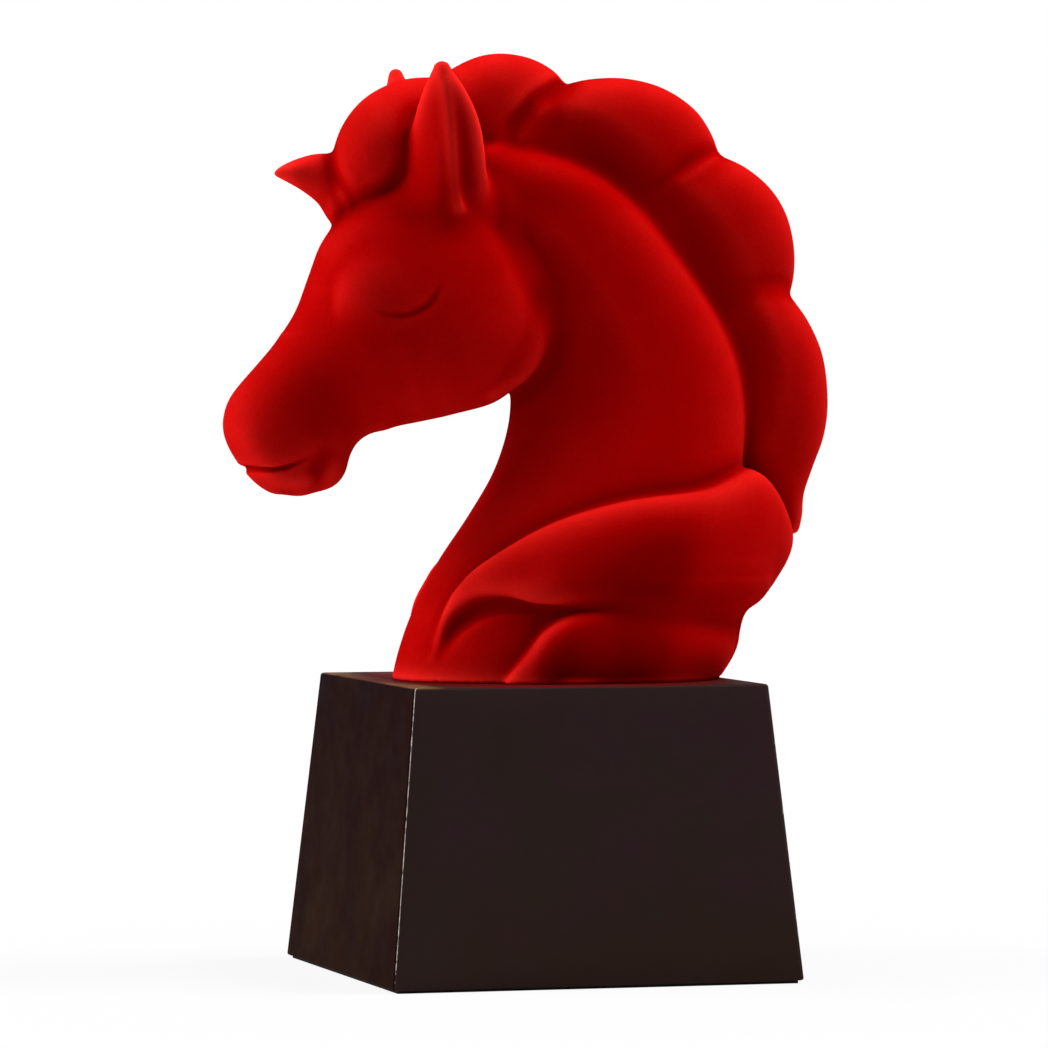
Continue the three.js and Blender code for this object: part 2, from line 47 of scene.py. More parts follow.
# Viewpoint: a long lens a little over two metres away, just above the middle of the statue, looking at
# its left side from slightly in front.
camera_place = (2.12743533, -0.63189381, 0.20252886)
view_right = Vector((0.28226183, 0.95933683, 0.00104874))
view_up = Vector((-0.02185174, 0.00533644, 0.99974698))
view_back = view_right.cross(view_up)
camera_turn = Matrix((view_right, view_up, view_back)).transposed().to_4x4()
camera_data = bpy.data.cameras.new("viewpoint")
camera_data.sensor_width = 36
camera_data.lens = 223.28
camera_data.clip_end = 20
camera = bpy.data.objects.new("viewpoint", camera_data)
camera.matrix_world = Matrix.Translation(camera_place) @ camera_turn
scene.collection.objects.link(camera)
scene.camera = camera


# Floor: a wide sheet of white card. Close to the plinth it shows a little of the statue's shadow, and
# further out it is as bright as the white room behind it.
def link(tree, source, target):
    tree.links.new(source, target)


def node(tree, kind, sockets=None, **settings):
    """A shader node with its settings, and with the numbers or links of its inputs by name or place."""
    made = tree.nodes.new(kind)
    for name, value in settings.items():
        setattr(made, name, value)
    for name, value in (sockets or {}).items():
        if isinstance(value, bpy.types.NodeSocket):
            link(tree, value, made.inputs[name])
        else:
            made.inputs[name].default_value = value
    return made


def worked(tree, operation, *numbers):
    """One step of arithmetic in a node tree, on numbers or links."""
    return node(tree, "ShaderNodeMath", dict(enumerate(numbers)), operation=operation).outputs[0]


def eased(tree, value, low, high, least=0.0):
    """Rises softly from least to one while the value goes from low to high."""
    return node(tree, "ShaderNodeMapRange", {
        "Value": value, "From Min": low, "From Max": high, "To Min": least,
    }, interpolation_type="SMOOTHSTEP").outputs[0]


def length_in(tree, vector):
    return node(tree, "ShaderNodeVectorMath", {0: vector}, operation="LENGTH").outputs["Value"]


def object_place(tree):
    return node(tree, "ShaderNodeTexCoord").outputs["Object"]


def new_material(name):
    """A material with its node tree, and the inputs of its shader."""
    made = bpy.data.materials.new(name)
    made.use_nodes = True
    return made, made.node_tree, made.node_tree.nodes["Principled BSDF"].inputs


def whitened(tree, share, plain, white, output):
    """Shows the white shader to the camera and in reflections, and the plain one to all other light."""
    ray = node(tree, "ShaderNodeLightPath").outputs
    seen = worked(tree, "MAXIMUM", ray["Is Camera Ray"], ray["Is Glossy Ray"])
    mixed = node(tree, "ShaderNodeMixShader", {
        0: worked(tree, "MULTIPLY", share, seen), 1: plain.outputs[0], 2: white.outputs[0]})
    link(tree, mixed.outputs[0], tree.nodes[output].inputs["Surface"])


floor_half = 3.0
card_tone = 0.62
white_beside_plinth = 0.9
fade_start, fade_end = 0.08, 0.4
floor_corners = [(x * floor_half, y * floor_half, 0) for x, y in ((-1, -1), (1, -1), (1, 1), (-1, 1))]
floor_mesh = bpy.data.meshes.new("floor")
floor_mesh.from_pydata(floor_corners, [], [(0, 1, 2, 3)])
floor = bpy.data.objects.new("floor", floor_mesh)
scene.collection.objects.link(floor)
card, tree, surface = new_material("white_card")
surface["Base Color"].default_value = (card_tone, card_tone, card_tone, 1)
surface["Roughness"].default_value = 1
surface["Specular IOR Level"].default_value = 0
away = length_in(tree, object_place(tree))
whiteness = eased(tree, away, fade_start, fade_end, white_beside_plinth)
full_white = node(tree, "ShaderNodeEmission", {"Strength": 1})
whitened(tree, whiteness, tree.nodes["Principled BSDF"], full_white, "Material Output")
floor_mesh.materials.append(card)


# Studio light: a white room that the camera and reflections see as white, and four soft boxes, three on the
# left and a stronger one high on the right, almost square to the view so that they graze the flock's nap.
room_light = 0.02
room = bpy.data.worlds.new("white_room")
scene.world = room
room.use_nodes = True
tree = room.node_tree
dim = tree.nodes["Background"]
dim.inputs["Color"].default_value = (1, 1, 1, 1)
dim.inputs["Strength"].default_value = room_light
bright = node(tree, "ShaderNodeBackground", {"Color": (1, 1, 1, 1), "Strength": 1})
whitened(tree, 1, dim, bright, "World Output")

bust_middle = Vector((0, 0, 0.2))
lamp_distance = 1.5
lamp_width = 0.6


def soft_box(name, turn, rise, watts):
    """A square soft box aimed at the bust, turned from the camera's side and raised, in degrees."""
    turn, rise = math.radians(turn), math.radians(rise)
    level = math.sin(turn) * view_right + math.cos(turn) * view_back
    lamp = bpy.data.lights.new(name, "AREA")
    lamp.shape = "RECTANGLE"
    lamp.size = lamp_width
    lamp.size_y = lamp_width
    lamp.energy = watts
    box = bpy.data.objects.new(name, lamp)
    place = bust_middle + lamp_distance * (math.cos(rise) * level + math.sin(rise) * view_up)
    box.location = place
    box.rotation_euler = (bust_middle - place).to_track_quat("-Z", "Y").to_euler()
    scene.collection.objects.link(box)
    box.visible_camera = False


soft_box("soft_box_left", turn=-90, rise=25, watts=17)
soft_box("soft_box_low_left", turn=-80, rise=5, watts=4)
soft_box("soft_box_right", turn=90, rise=60, watts=31)
soft_box("soft_box_high_left", turn=-80, rise=55, watts=4)


# Plinth sides: four boards of medium fibreboard, mitred where they meet and glued round the corner blocks,
# sanded to soft corners and sprayed with a satin brown-black paint.
PLINTH_HEIGHT = 100
PLINTH_BOTTOM_WIDTH = 143
PLINTH_TOP_WIDTH = 123.5
BOARD_THICKNESS = 9
FELT_THICKNESS = 1
CORNER_RADIUS = 1.7
EDGE_RADIUS = 0.9
ROUNDING_STEPS = 6
FLAT_STEPS = 12


def outer_half(z):
    return (PLINTH_BOTTOM_WIDTH + (PLINTH_TOP_WIDTH - PLINTH_BOTTOM_WIDTH) * z / PLINTH_HEIGHT) / 2


def through_levels(name, levels):
    """A closed mesh through outlines of equal length, one for each level, from points in millimetres."""
    count = len(levels[0])
    points = [(x * MM, y * MM, z * MM) for level in levels for x, y, z in level]
    faces = [tuple(reversed(range(count)))]
    for k in range(len(levels) - 1):
        for i in range(count):
            j = (i + 1) % count
            faces.append((k * count + i, k * count + j, (k + 1) * count + j, (k + 1) * count + i))
    faces.append(tuple(range((len(levels) - 1) * count, len(levels) * count)))
    mesh = bpy.data.meshes.new(name)
    mesh.from_pydata(points, [], faces)
    mesh.update()
    piece = bpy.data.objects.new(name, mesh)
    scene.collection.objects.link(piece)
    return piece


def shade_smooth_to(piece, degrees):
    piece.data.shade_smooth()
    piece.data.set_sharp_from_angle(angle=math.radians(degrees))


def turns_up_to(degrees):
    return [math.radians(degrees * i / ROUNDING_STEPS) for i in range(ROUNDING_STEPS + 1)]


def side_board_levels():
    """Heights with how far the edge has rounded off there: both long edges are sanded round."""
    rounded = [(EDGE_RADIUS * (1 - math.sin(turn)), EDGE_RADIUS * (1 - math.cos(turn)))
               for turn in turns_up_to(90)]
    straight = PLINTH_HEIGHT - FELT_THICKNESS - 2 * EDGE_RADIUS
    foot = [(FELT_THICKNESS + rise, inset) for rise, inset in reversed(rounded)]
    face = [(FELT_THICKNESS + EDGE_RADIUS + straight * i / FLAT_STEPS, 0) for i in range(1, FLAT_STEPS)]
    return foot + face + [(PLINTH_HEIGHT - drop, inset) for drop, inset in rounded]


def side_board_outline(z, inset):
    """Level outline of the front board: half of each rounded corner, the face between, and the inner face."""
    face = outer_half(z) - inset
    back = outer_half(z) - BOARD_THICKNESS
    centre = face - CORNER_RADIUS
    left, right = [], []
    for turn in turns_up_to(45):
        right.append((centre + CORNER_RADIUS * math.sin(turn), -centre - CORNER_RADIUS * math.cos(turn)))
        left.append((-centre - CORNER_RADIUS * math.sin(turn), -centre - CORNER_RADIUS * math.cos(turn)))
    between_corners = [(-centre + 2 * centre * i / FLAT_STEPS, -face) for i in range(1, FLAT_STEPS)]
    outline = left[::-1] + between_corners + right + [(back, -back), (-back, -back)]
    return [(x, y, z) for x, y in outline]


# Pale edges: wear at the foot; along the mitres partly wear, partly a painted highlight, strongest at the
# front corner.
foot_band = 9
foot_wear = (0.7, 0.68, 0.64, 0.58, 0.5)
mitre_wear_and_highlight = (1.0, 0.62, 0.15)
front_corner_wear_and_highlight, other_corner_wear_and_highlight = 1, 0.75


def mark_worn_and_highlit_edges(board, levels, left_end, right_end):
    """How pale each edge point is: sharpest along the mitres at both ends, where it is partly wear and partly
    a painted highlight, and over a wider band of wear at the foot.
    """
    count = len(board.data.vertices) // len(levels)
    marks = np.zeros(len(board.data.vertices), np.float32)
    for k, (z, _) in enumerate(levels):
        for i, worn in enumerate(foot_wear if z < foot_band else mitre_wear_and_highlight):
            marks[k * count + i] = left_end * worn
            marks[k * count + count - 3 - i] = right_end * worn
    board.data.attributes.new("edge", "FLOAT", "POINT").data.foreach_set("value", marks)


side_boards = []
for turn, side in enumerate(["front", "left", "back", "right"]):
    levels = side_board_levels()
    board = through_levels("side_board_" + side, [side_board_outline(z, inset) for z, inset in levels])
    board.data.transform(Matrix.Rotation(math.radians(90 * turn), 4, "Z"))
    mark_worn_and_highlit_edges(board, levels, front_corner_wear_and_highlight if side == "left" else other_corner_wear_and_highlight,
                    front_corner_wear_and_highlight if side == "front" else other_corner_wear_and_highlight)
    shade_smooth_to(board, degrees=30)
    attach(board, "root")
    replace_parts(board, "side_panel_" + side)
    side_boards.append(board)


def effect(name, numbers, output):
    """A node group that puts out one value, with the sockets of its named numbers and of its output."""
    group = bpy.data.node_groups.new(name, "ShaderNodeTree")
    for label, value in numbers.items():
        socket = group.interface.new_socket(label, in_out="INPUT", socket_type="NodeSocketFloat")
        socket.default_value = value
    group.interface.new_socket(output, in_out="OUTPUT", socket_type="NodeSocketFloat")
    return group, node(group, "NodeGroupInput").outputs, node(group, "NodeGroupOutput").inputs[output]


def per_metre(group, size):
    """How many times a size in millimetres goes into a metre, which is what textures call their scale."""
    return worked(group, "DIVIDE", 1000.0, size)


patches, numbers, mask = effect("patches", {"Size": 20.0, "Softness": 0.15, "Layer": 0.0}, "Mask")
cloud = node(patches, "ShaderNodeTexNoise", {
    "Vector": object_place(patches), "W": numbers["Layer"], "Scale": per_metre(patches, numbers["Size"]),
    "Detail": 4.0, "Roughness": 0.6}, noise_dimensions="4D")
least = worked(patches, "SUBTRACT", 0.5, numbers["Softness"])
most = worked(patches, "ADD", 0.5, numbers["Softness"])
link(patches, eased(patches, cloud.outputs[0], least, most), mask)

fine_grain, numbers, height = effect("fine_grain", {"Size": 1.0, "Across": 1.0, "Along": 1.0}, "Height")
stretch = node(fine_grain, "ShaderNodeCombineXYZ", {
    "X": numbers["Across"], "Y": numbers["Across"], "Z": numbers["Along"]})
stretched = node(fine_grain, "ShaderNodeVectorMath", {
    0: object_place(fine_grain), 1: stretch.outputs[0]}, operation="MULTIPLY")
grain = node(fine_grain, "ShaderNodeTexNoise", {
    "Vector": stretched.outputs[0], "Scale": per_metre(fine_grain, numbers["Size"]),
    "Detail": 3.0, "Roughness": 0.7})
link(fine_grain, grain.outputs[0], height)

# A pale edge mark, partly worn paint and partly a painted highlight.
edge_wear_and_highlight, numbers, mask = effect("edge_wear_and_highlight", {"Break up": 0.4, "Size": 2.0, "From": 0.6}, "Mask")
edge = node(edge_wear_and_highlight, "ShaderNodeAttribute", attribute_name="edge")
broken = node(edge_wear_and_highlight, "ShaderNodeTexNoise", {
    "Vector": object_place(edge_wear_and_highlight), "Scale": per_metre(edge_wear_and_highlight, numbers["Size"]),
    "Detail": 4.0, "Roughness": 0.65})
swing = worked(edge_wear_and_highlight, "SUBTRACT", broken.outputs[0], 0.5)
swing = worked(edge_wear_and_highlight, "MULTIPLY", swing, numbers["Break up"])
pale_edge_amount = worked(edge_wear_and_highlight, "ADD", edge.outputs["Fac"], swing)
pale_edge_slope = 0.12
fully_pale_at = worked(edge_wear_and_highlight, "ADD", numbers["From"], pale_edge_slope)
link(edge_wear_and_highlight, eased(edge_wear_and_highlight, pale_edge_amount, numbers["From"], fully_pale_at), mask)

facing_up, numbers, mask = effect("facing_up", {"From": 0.6, "To": 0.95}, "Mask")
facing = node(facing_up, "ShaderNodeSeparateXYZ", {
    0: node(facing_up, "ShaderNodeNewGeometry").outputs["Normal"]})
link(facing_up, eased(facing_up, facing.outputs["Z"], numbers["From"], numbers["To"]), mask)


def placed(tree, group, **numbers):
    """A node group set in a material with its own numbers; the output that it puts out."""
    made = node(tree, "ShaderNodeGroup", node_tree=group)
    for name, value in numbers.items():
        made.inputs[name.replace("_", " ")].default_value = value
    return made.outputs[0]


def blended(tree, share, low, high):
    """One colour turning into another: each is a linked colour or three numbers."""
    sockets = {0: share, 6: low, 7: high}
    for place in (6, 7):
        if isinstance(sockets[place], tuple):
            sockets[place] = (*sockets[place], 1)
    return node(tree, "ShaderNodeMix", sockets, data_type="RGBA").outputs[2]


def between(tree, value, low, high):
    return node(tree, "ShaderNodeMapRange", {"Value": value, "To Min": low, "To Max": high}).outputs[0]


def finished(tree, surface, tone, roughness, height, strength, reach_mm):
    """Gives a shader its colour and its roughness, and bumps of a strength and a reach."""
    link(tree, tone, surface["Base Color"])
    link(tree, roughness, surface["Roughness"])
    bumps = node(tree, "ShaderNodeBump", {"Height": height, "Strength": strength, "Distance": reach_mm * MM})
    link(tree, bumps.outputs[0], surface["Normal"])


pale_edge_wear_and_highlight = (0.7, 0.64, 0.6)
top_tone = (0.03, 0.011, 0.009)
# Painted reflections on faces that look up: tan along the front, red round the foot of the bust.
painted_tan_reflection = ((0.085, 0.037, 0.014), (0.15, 0.075, 0.036))
painted_tan_reflection_y = (-0.049, -0.057)
painted_red_reflection = (0.085, 0.004, 0.004)
bust_foot = (0.073, 0.061)
painted_red_reflection_reach = (1.12, 0.9)


def satin_paint(name, ground, second_ground, low_reflection, low_reflection_full_below, low_reflection_gone_above):
    """Brown-black paint in two close tones, browner low down as a painted reflection, and pale along the
    edges, partly worn paint and partly a painted highlight. On faces that look up it has a painted tan
    reflection along the front and a painted red reflection round the foot of the bust."""
    paint, tree, surface = new_material(name)
    tone = blended(tree, placed(tree, patches, Size=26.0, Softness=0.16), ground, second_ground)
    place = object_place(tree)
    where = node(tree, "ShaderNodeSeparateXYZ", {0: place}).outputs
    # Browner low down: a painted reflection, fading out with height.
    low_down = eased(tree, where["Z"], low_reflection_gone_above * MM, low_reflection_full_below * MM)
    rubbed = worked(tree, "MULTIPLY", low_down, placed(tree, patches, Size=34.0, Softness=0.22, Layer=3.0))
    tone = blended(tree, rubbed, tone, low_reflection)
    # Faces that look up: painted reflections, tan along the front and red round the foot of the bust.
    tan_reflection = blended(tree, placed(tree, patches, Size=16.0, Softness=0.2, Layer=5.0), *painted_tan_reflection)
    upper = blended(tree, eased(tree, where["Y"], *painted_tan_reflection_y), top_tone, tan_reflection)
    from_bust = node(tree, "ShaderNodeVectorMath", {
        0: place, 1: (1 / bust_foot[0], 1 / bust_foot[1], 0)}, operation="MULTIPLY").outputs[0]
    upper = blended(tree, eased(tree, length_in(tree, from_bust), *painted_red_reflection_reach), upper, painted_red_reflection)
    tone = blended(tree, placed(tree, facing_up), tone, upper)
    # Pale edges: partly worn paint, partly a painted highlight.
    tone = blended(tree, placed(tree, edge_wear_and_highlight, Break_up=1.0, From=0.78), tone, pale_edge_wear_and_highlight)
    polished = placed(tree, patches, Size=9.0, Softness=0.3, Layer=8.0)
    sprayed = placed(tree, fine_grain, Size=0.9)
    roughness = between(tree, polished, low=0.44, high=0.6)
    finished(tree, surface, tone, roughness, sprayed, strength=0.12, reach_mm=0.15)
    surface["Specular IOR Level"].default_value = 0.0025
    return paint


side_paint = satin_paint(
    "satin_brown_black_paint", ground=(0.041, 0.0206, 0.023), second_ground=(0.035, 0.0226, 0.019),
    low_reflection=(0.037, 0.02, 0.0156), low_reflection_full_below=5, low_reflection_gone_above=60)
# The front board's paint is darker than the others: painted shade, for the face that the left lamps light
# most.
shaded_front_paint = satin_paint(
    "rubbed_brown_paint", ground=(0.009, 0.0022, 0.0026), second_ground=(0.012, 0.0034, 0.002),
    low_reflection=(0.021, 0.0078, 0.0036), low_reflection_full_below=10, low_reflection_gone_above=85)
for board in side_boards:
    board.data.materials.append(shaded_front_paint if board.name.endswith("front") else side_paint)


# Plinth top: a square of the same board, let in flush between the side boards, with its upper edge eased
# a little, and painted with them.
def square_level(half, z, radius=0.6, steps=4):
    """A square outline with rounded corners at a height."""
    points = []
    for k, (sx, sy) in enumerate([(1, -1), (1, 1), (-1, 1), (-1, -1)]):
        for i in range(steps + 1):
            turn = math.radians(90 * (k - 1) + 90 * i / steps)
            x = sx * (half - radius) + radius * math.cos(turn)
            y = sy * (half - radius) + radius * math.sin(turn)
            points.append((x, y, z))
    return points


top_low = PLINTH_HEIGHT - BOARD_THICKNESS
top_half = outer_half(PLINTH_HEIGHT) - BOARD_THICKNESS
glue_gap = 0.1
softened_edge = [(0.06, 0.25), (0.12, 0.08), (0.3, 0)]
top_board = through_levels("top_board", [
    square_level(outer_half(top_low) - BOARD_THICKNESS - glue_gap, top_low),
    *(square_level(top_half - inset, PLINTH_HEIGHT - drop) for inset, drop in softened_edge),
])
shade_smooth_to(top_board, degrees=30)
top_board.data.materials.append(side_paint)
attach(top_board, "root")
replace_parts(top_board, "top_panel")


# Inside of the plinth: raw fibreboard let in as a bottom, on four softwood blocks that are glued into the
# corners, with a countersunk zinc-plated screw up into each block.
def finish_as(material, *names):
    """Gives CAD pieces whose shape is right their finish."""
    for name in names:
        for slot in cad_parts[name].material_slots:
            slot.material = material


raw_board, tree, surface = new_material("raw_fibreboard")
felted = placed(tree, fine_grain, Size=1.6)
clouded = placed(tree, patches, Size=14.0, Softness=0.25)
tone = blended(tree, clouded, (0.36, 0.235, 0.13), (0.43, 0.295, 0.175))
tone = blended(tree, between(tree, felted, low=-0.4, high=0.7), tone, (0.25, 0.155, 0.08))
finished(tree, surface, tone, between(tree, felted, low=0.75, high=0.95), felted,
         strength=0.3, reach_mm=0.2)
finish_as(raw_board, "bottom_board")

softwood, tree, surface = new_material("sawn_softwood")
rings = placed(tree, fine_grain, Size=3.5, Along=0.05)
fibres = placed(tree, fine_grain, Size=0.5, Along=0.03)
tone = blended(tree, between(tree, rings, low=-0.6, high=1.6), (0.72, 0.5, 0.27), (0.5, 0.28, 0.12))
tone = blended(tree, between(tree, fibres, low=-0.3, high=0.5), tone, (0.62, 0.41, 0.21))
finished(tree, surface, tone, between(tree, rings, low=0.6, high=0.8), fibres,
         strength=0.35, reach_mm=0.15)
finish_as(softwood, *(f"corner_block_{i}" for i in range(1, 5)))

zinc, tree, surface = new_material("zinc_plated_steel")
spangle = placed(tree, patches, Size=1.5, Softness=0.3)
scratched = placed(tree, fine_grain, Size=0.3, Along=0.2)
tone = blended(tree, spangle, (0.56, 0.57, 0.56), (0.68, 0.68, 0.64))
finished(tree, surface, tone, between(tree, scratched, low=0.28, high=0.5), scratched,
         strength=0.15, reach_mm=0.03)
surface["Metallic"].default_value = 1
finish_as(zinc, *(f"board_screw_{i}" for i in range(1, 5)))


# Felt pad: a square of black needled felt, cut from the roll and glued under the whole plinth, so that it
# doesn't scratch a table.
felt, tree, surface = new_material("black_felt")
fluff = placed(tree, fine_grain, Size=0.8)
matted = placed(tree, patches, Size=7.0, Softness=0.3)
tone = blended(tree, matted, (0.012, 0.012, 0.013), (0.02, 0.019, 0.02))
tone = blended(tree, between(tree, fluff, low=-0.5, high=0.9), tone, (0.045, 0.043, 0.045))
finished(tree, surface, tone, between(tree, fluff, low=0.85, high=1.0), fluff,
         strength=0.5, reach_mm=0.25)
surface["Specular IOR Level"].default_value = 0.1
finish_as(felt, "felt_pad")


# Fixing: two blackened steel socket screws with washers, put in from inside the box, in brass inserts that
# are cast into the foot of the bust.
blackened, tree, surface = new_material("blackened_steel")
oiled = placed(tree, patches, Size=2.5, Softness=0.3)
turned = placed(tree, fine_grain, Size=0.35, Along=3.0)
tone = blended(tree, oiled, (0.05, 0.05, 0.054), (0.1, 0.095, 0.09))
finished(tree, surface, tone, between(tree, turned, low=0.3, high=0.5), turned,
         strength=0.15, reach_mm=0.03)
surface["Metallic"].default_value = 1
finish_as(blackened, "fixing_screw_front", "fixing_screw_rear", "fixing_washer_front", "fixing_washer_rear")

brass, tree, surface = new_material("turned_brass")
dulled = placed(tree, patches, Size=2.0, Softness=0.25)
turned = placed(tree, fine_grain, Size=0.3, Along=4.0)
tone = blended(tree, dulled, (0.72, 0.5, 0.2), (0.52, 0.34, 0.13))
finished(tree, surface, tone, between(tree, turned, low=0.25, high=0.45), turned,
         strength=0.15, reach_mm=0.03)
surface["Metallic"].default_value = 1
finish_as(brass, "threaded_insert_front", "threaded_insert_rear")


# Bust: cast pieces in stone resin, modelled in clay first. The clay is a block of small steps, each of which
# knows how far it is from the surface, so that forms can be blended, cut and smoothed like clay.
STEP = 0.8
BLOCK_LOW = np.floor(np.array([-48, -117, 97]) / STEP).astype(int)
BLOCK_HIGH = np.ceil(np.array([48, 107, 318]) / STEP).astype(int)
BLOCK_HIGH[0] = 1 - BLOCK_LOW[0]
BLOCK_SHAPE = tuple(BLOCK_HIGH - BLOCK_LOW)
EVERYWHERE = tuple(slice(0, n) for n in BLOCK_SHAPE)
DEPTH = 9.0


def along(values, count):
    """Evenly spread values on one smooth line through the given ones."""
    values = np.array(values, float)
    ends = np.vstack([2 * values[0] - values[1], values, 2 * values[-1] - values[-2]])
    t = np.linspace(0, len(values) - 1, count)
    i = np.minimum(t.astype(int), len(values) - 2)
    w = (t - i)[:, None]
    before, start, stop, after = ends[i], ends[i + 1], ends[i + 2], ends[i + 3]
    leave, arrive = (stop - before) / 2, (after - start) / 2
    cubed = 2 * start - 2 * stop + leave + arrive
    squared = 3 * stop - 3 * start - 2 * leave - arrive
    return cubed * w ** 3 + squared * w ** 2 + leave * w + start


def roll(stations, start_dome, end_dome, rings=70, sides=64):
    """A clay roll through its stations, with a dome on each end: points, four- and three-sided faces."""
    keys = [np.concatenate([s["centre"], s["wide"], s["deep"], [s["front"], s["back"], s["inward"]]])
            for s in stations]
    rows = along(keys, rings)
    dome_turns = np.radians(np.linspace(10, 89, 9))

    def ring(row, share=1.0, shift=(0, 0, 0)):
        turn = np.arange(sides) / sides * 2 * np.pi
        c, s = np.cos(turn), np.sin(turn)
        power = 2 / np.where(s > 0, row[9], row[10])
        wide = np.sign(c) * np.abs(c) ** power * share * np.where(c < 0, row[11], 1)
        deep = np.sign(s) * np.abs(s) ** power * share
        return row[:3] + shift + wide[:, None] * row[3:6] + deep[:, None] * row[6:9]

    def dome(row, travel, height):
        outward = np.cross(row[3:6], row[6:9])
        outward /= np.linalg.norm(outward)
        if outward @ travel < 0:
            outward = -outward
        return [ring(row, math.cos(turn), outward * height * math.sin(turn)) for turn in dome_turns]

    first = dome(rows[0], rows[0][:3] - rows[1][:3], start_dome)[::-1]
    last = dome(rows[-1], rows[-1][:3] - rows[-2][:3], end_dome)
    levels = first + [ring(row) for row in rows] + last
    points = np.vstack(levels + [levels[0].mean(0)[None], levels[-1].mean(0)[None]])
    i = np.arange(sides)
    j = (i + 1) % sides
    top = (len(levels) - 1) * sides
    quads = np.vstack([np.stack([low + i, low + j, low + sides + j, low + sides + i], 1)
                       for low in range(0, top, sides)])
    first_tip, last_tip = len(points) - 2, len(points) - 1
    triangles = np.vstack([np.stack([j, i, np.full(sides, first_tip)], 1),
                           np.stack([top + i, top + j, np.full(sides, last_tip)], 1)])
    return points, quads, triangles


def clay(stations, start_dome, end_dome):
    """A region of the block with how far each step is from a roll's surface, less than nothing inside."""
    points, quads, triangles = roll(stations, start_dome, end_dome)
    grid = openvdb.FloatGrid.createLevelSetFromPolygons(
        points.astype(np.float32), triangles=triangles.astype(np.uint32), quads=quads.astype(np.uint32),
        transform=openvdb.createLinearTransform(voxelSize=STEP), halfWidth=DEPTH / STEP)
    low = np.maximum(np.floor((points.min(0) - DEPTH) / STEP).astype(int), BLOCK_LOW)
    high = np.minimum(np.ceil((points.max(0) + DEPTH) / STEP).astype(int), BLOCK_HIGH)
    steps = np.empty(tuple(high - low), np.float32)
    grid.copyToArray(steps, ijk=tuple(int(v) for v in low))
    region = tuple(slice(a, b) for a, b in zip(low - BLOCK_LOW, high - BLOCK_LOW))
    return region, steps


def whole(piece):
    region, steps = piece
    block = np.full(BLOCK_SHAPE, DEPTH, np.float32)
    block[region] = steps
    return block


def places(region):
    """The x, y and z of each step in a region, in millimetres."""
    found = []
    for shape, part, low in zip(([-1, 1, 1], [1, -1, 1], [1, 1, -1]), region, BLOCK_LOW):
        line = (np.arange(part.start, part.stop) + low) * STEP
        found.append(line.astype(np.float32).reshape(shape))
    return found


def joined(a, b, blend):
    """Two clay forms pressed together, with a fillet about as wide as blend."""
    near = np.maximum(blend - np.abs(a - b), 0) / blend
    return np.minimum(a, b) - near * near * blend / 4


def cut(a, tool, blend):
    return -joined(-a, tool, blend)


def across(outer, inner, half_width, front=2.2, back=None, x=0):
    """A station across the middle plane, from its outer to its inner point, each (y, z above the plinth).
    Its outer and inner halves get fuller as front and back rise."""
    a = np.array([x, outer[0], outer[1] + PLINTH_HEIGHT])
    b = np.array([x, inner[0], inner[1] + PLINTH_HEIGHT])
    return {"centre": (a + b) / 2, "wide": np.array([half_width, 0, 0]), "deep": (a - b) / 2,
            "front": front, "back": back or front, "inward": 1}


# Main casting: neck and head in one piece. The neck rises from an oval foot and arches forward, and the head
# hangs from it, with round cheeks, a narrow muzzle, closed eyes and a soft mouth line.
neck = clay([
    across((-52.3, -6), (55, -6), 43, 2.1, 2.4),
    across((-49.4, 8), (59, 8), 42.5, 2.1, 2.4),
    across((-44.1, 23), (63, 24), 40.5, 2.1, 2.5),
    across((-35.8, 39), (66, 43), 37.5, 2.1, 2.6),
    across((-24, 56), (68, 60), 34.5, 2.2, 3),
    across((-15, 72), (69, 76), 32, 2.1, 3.2),
    across((-10.5, 90), (70, 93), 29.5, 1.85, 3.3),
    across((-12, 107), (67, 110), 27.5, 1.7, 3.4),
    across((-19, 124), (58.5, 128), 26, 1.7, 3.4),
    across((-28, 140), (46.5, 146), 25, 1.8, 3.2),
    across((-37, 151), (30, 163.5), 24.5, 2.3, 3.2),
    across((-44, 159), (11.5, 176.5), 23.5, 2.3, 2.8),
    across((-48, 165), (-12, 183), 21.5, 2.3, 2.6),
], start_dome=1, end_dome=7)
head = clay([
    across((-29, 171), (-3, 128), 22, 2.4),
    across((-43, 174), (-4, 108), 28, 2.3, 2.6),
    across((-56, 168.5), (-16, 95), 31, 2.25, 2.6),
    across((-66.8, 160), (-32, 90), 31, 2.2, 2.5),
    across((-75.6, 149.5), (-43.5, 87.5), 29, 2.2, 2.4),
    across((-80.5, 137.6), (-53, 85.5), 25.5, 2.2, 2.3),
    across((-85.5, 125.4), (-60, 82), 21.5),
    across((-92.6, 115), (-65, 78), 18.5),
    across((-100, 106.8), (-69.5, 72), 17.5),
    across((-106.2, 100), (-76, 66.5), 17.5),
    across((-110, 95), (-83.5, 62.6), 17),
    across((-111, 89.5), (-92, 63), 15.5),
], start_dome=5, end_dome=5)


def soft_step(value, low, high):
    t = np.clip((value - low) / (high - low), 0, 1)
    return t * t * (3 - 2 * t)


throat_height, poll_height = 245, 272
throat_blend, poll_blend = 3.0, 14.0
_, _, height = places(EVERYWHERE)
towards_poll = soft_step(height, throat_height, poll_height)
casting = joined(whole(neck), whole(head), blend=throat_blend + (poll_blend - throat_blend) * towards_poll)


def around(points, margin):
    """The region of the block round some points."""
    points = np.array(points, float)
    low = np.maximum(np.floor((points.min(0) - margin) / STEP).astype(int) - BLOCK_LOW, 0)
    high = np.minimum(np.ceil((points.max(0) + margin) / STEP).astype(int) - BLOCK_LOW, BLOCK_SHAPE)
    return tuple(slice(a, b) for a, b in zip(low, high))


def distance(x, y, z):
    return np.sqrt(x ** 2 + y ** 2 + z ** 2)


